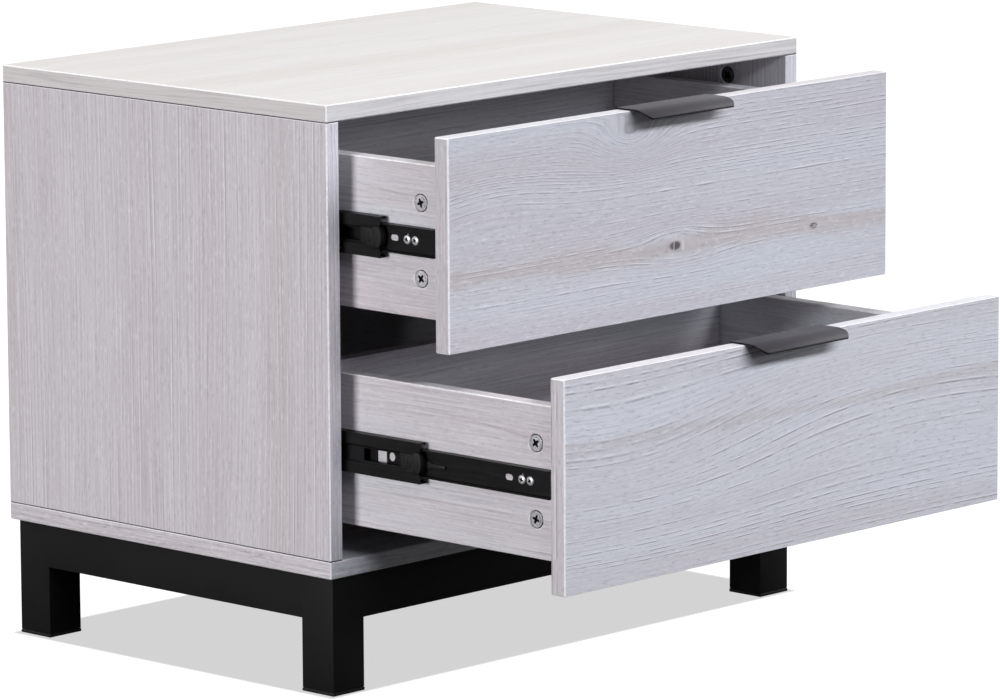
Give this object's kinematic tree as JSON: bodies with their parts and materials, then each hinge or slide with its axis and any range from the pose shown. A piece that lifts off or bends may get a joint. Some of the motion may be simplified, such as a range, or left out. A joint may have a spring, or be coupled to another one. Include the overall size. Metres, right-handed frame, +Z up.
{
  "type": "nightstand",
  "caption": "Bedside cabinet in pale wood-effect board on a black square-tube base, with inset drawers on telescopic slides, drawn partly open.",
  "frame": {"origin": "on the floor, at the centre of the footprint in the stored pose, with both drawers partly open", "axes": "+Z up, +Y towards the back, +X to the right seen from the front; the drawers open towards -Y"},
  "size_m": [0.6, 0.674, 0.508],
  "materials": {
    "laminate": "wood-effect melamine with embossed grain",
    "backing": "smooth matt backing board",
    "base_black": "matt powder coat",
    "foot_black": "moulded plastic",
    "slide_black": "black zinc, semi-gloss",
    "zinc": "zinc plated",
    "dark_zinc": "dark plated zinc",
    "handle_grey": "fine matt powder coat"
  },
  "bodies": {
    "carcass": {"top_panel": "laminate", "bottom_panel": "laminate", "left_side_panel": "laminate", "right_side_panel": "laminate", "back_panel": "backing", "leg_front_left": "base_black", "foot_cap_front_left": "foot_black", "leg_front_right": "base_black", "foot_cap_front_right": "foot_black", "leg_back_left": "base_black", "foot_cap_back_left": "foot_black", "leg_back_right": "base_black", "foot_cap_back_right": "foot_black", "apron_front": "base_black", "apron_back": "base_black", "apron_left": "base_black", "apron_right": "base_black", "carcass_cam_left_front": "dark_zinc", "carcass_cam_left_rear": "dark_zinc", "carcass_cam_right_front": "dark_zinc", "carcass_cam_right_rear": "dark_zinc", "upper_left_cabinet_member": "slide_black", "upper_right_cabinet_member": "slide_black", "lower_left_cabinet_member": "slide_black", "lower_right_cabinet_member": "slide_black"},
    "upper_drawer": {"upper_drawer_front": "laminate", "upper_drawer_back": "laminate", "upper_drawer_bottom": "backing", "upper_drawer_left_side": "laminate", "upper_drawer_right_side": "laminate", "upper_drawer_handle": "handle_grey", "upper_handle_screw_left": "zinc", "upper_handle_screw_right": "zinc", "upper_left_drawer_member": "slide_black", "upper_right_drawer_member": "slide_black", "upper_drawer_cam_left_top": "zinc", "upper_drawer_cam_left_bottom": "zinc", "upper_drawer_cam_right_top": "zinc", "upper_drawer_cam_right_bottom": "zinc"},
    "upper_slide_middle": {"upper_left_middle_member": "slide_black", "upper_right_middle_member": "slide_black"},
    "lower_drawer": {"lower_drawer_front": "laminate", "lower_drawer_back": "laminate", "lower_drawer_bottom": "backing", "lower_drawer_left_side": "laminate", "lower_drawer_right_side": "laminate", "lower_drawer_handle": "handle_grey", "lower_handle_screw_left": "zinc", "lower_handle_screw_right": "zinc", "lower_left_drawer_member": "slide_black", "lower_right_drawer_member": "slide_black", "lower_drawer_cam_left_top": "zinc", "lower_drawer_cam_left_bottom": "zinc", "lower_drawer_cam_right_top": "zinc", "lower_drawer_cam_right_bottom": "zinc"},
    "lower_slide_middle": {"lower_left_middle_member": "slide_black", "lower_right_middle_member": "slide_black"}
  },
  "joints": [
    {"name": "upper_drawer_slide", "type": "slide", "parent": "carcass", "child": "upper_drawer", "axis": [0, -1, 0], "range_m": [-0.122, 0.178]},
    {"name": "upper_middle_slide", "type": "slide", "parent": "carcass", "child": "upper_slide_middle", "axis": [0, -1, 0], "range_m": [-0.0735, 0.1071]},
    {"name": "lower_drawer_slide", "type": "slide", "parent": "carcass", "child": "lower_drawer", "axis": [0, -1, 0], "range_m": [-0.252, 0.048]},
    {"name": "lower_middle_slide", "type": "slide", "parent": "carcass", "child": "lower_slide_middle", "axis": [0, -1, 0], "range_m": [-0.118, 0.0226]}
  ],
  "couplings": [
    {"joint": "upper_middle_slide", "follows": "upper_drawer_slide", "ratio": 0.6},
    {"joint": "lower_middle_slide", "follows": "lower_drawer_slide", "ratio": 0.467}
  ]
}
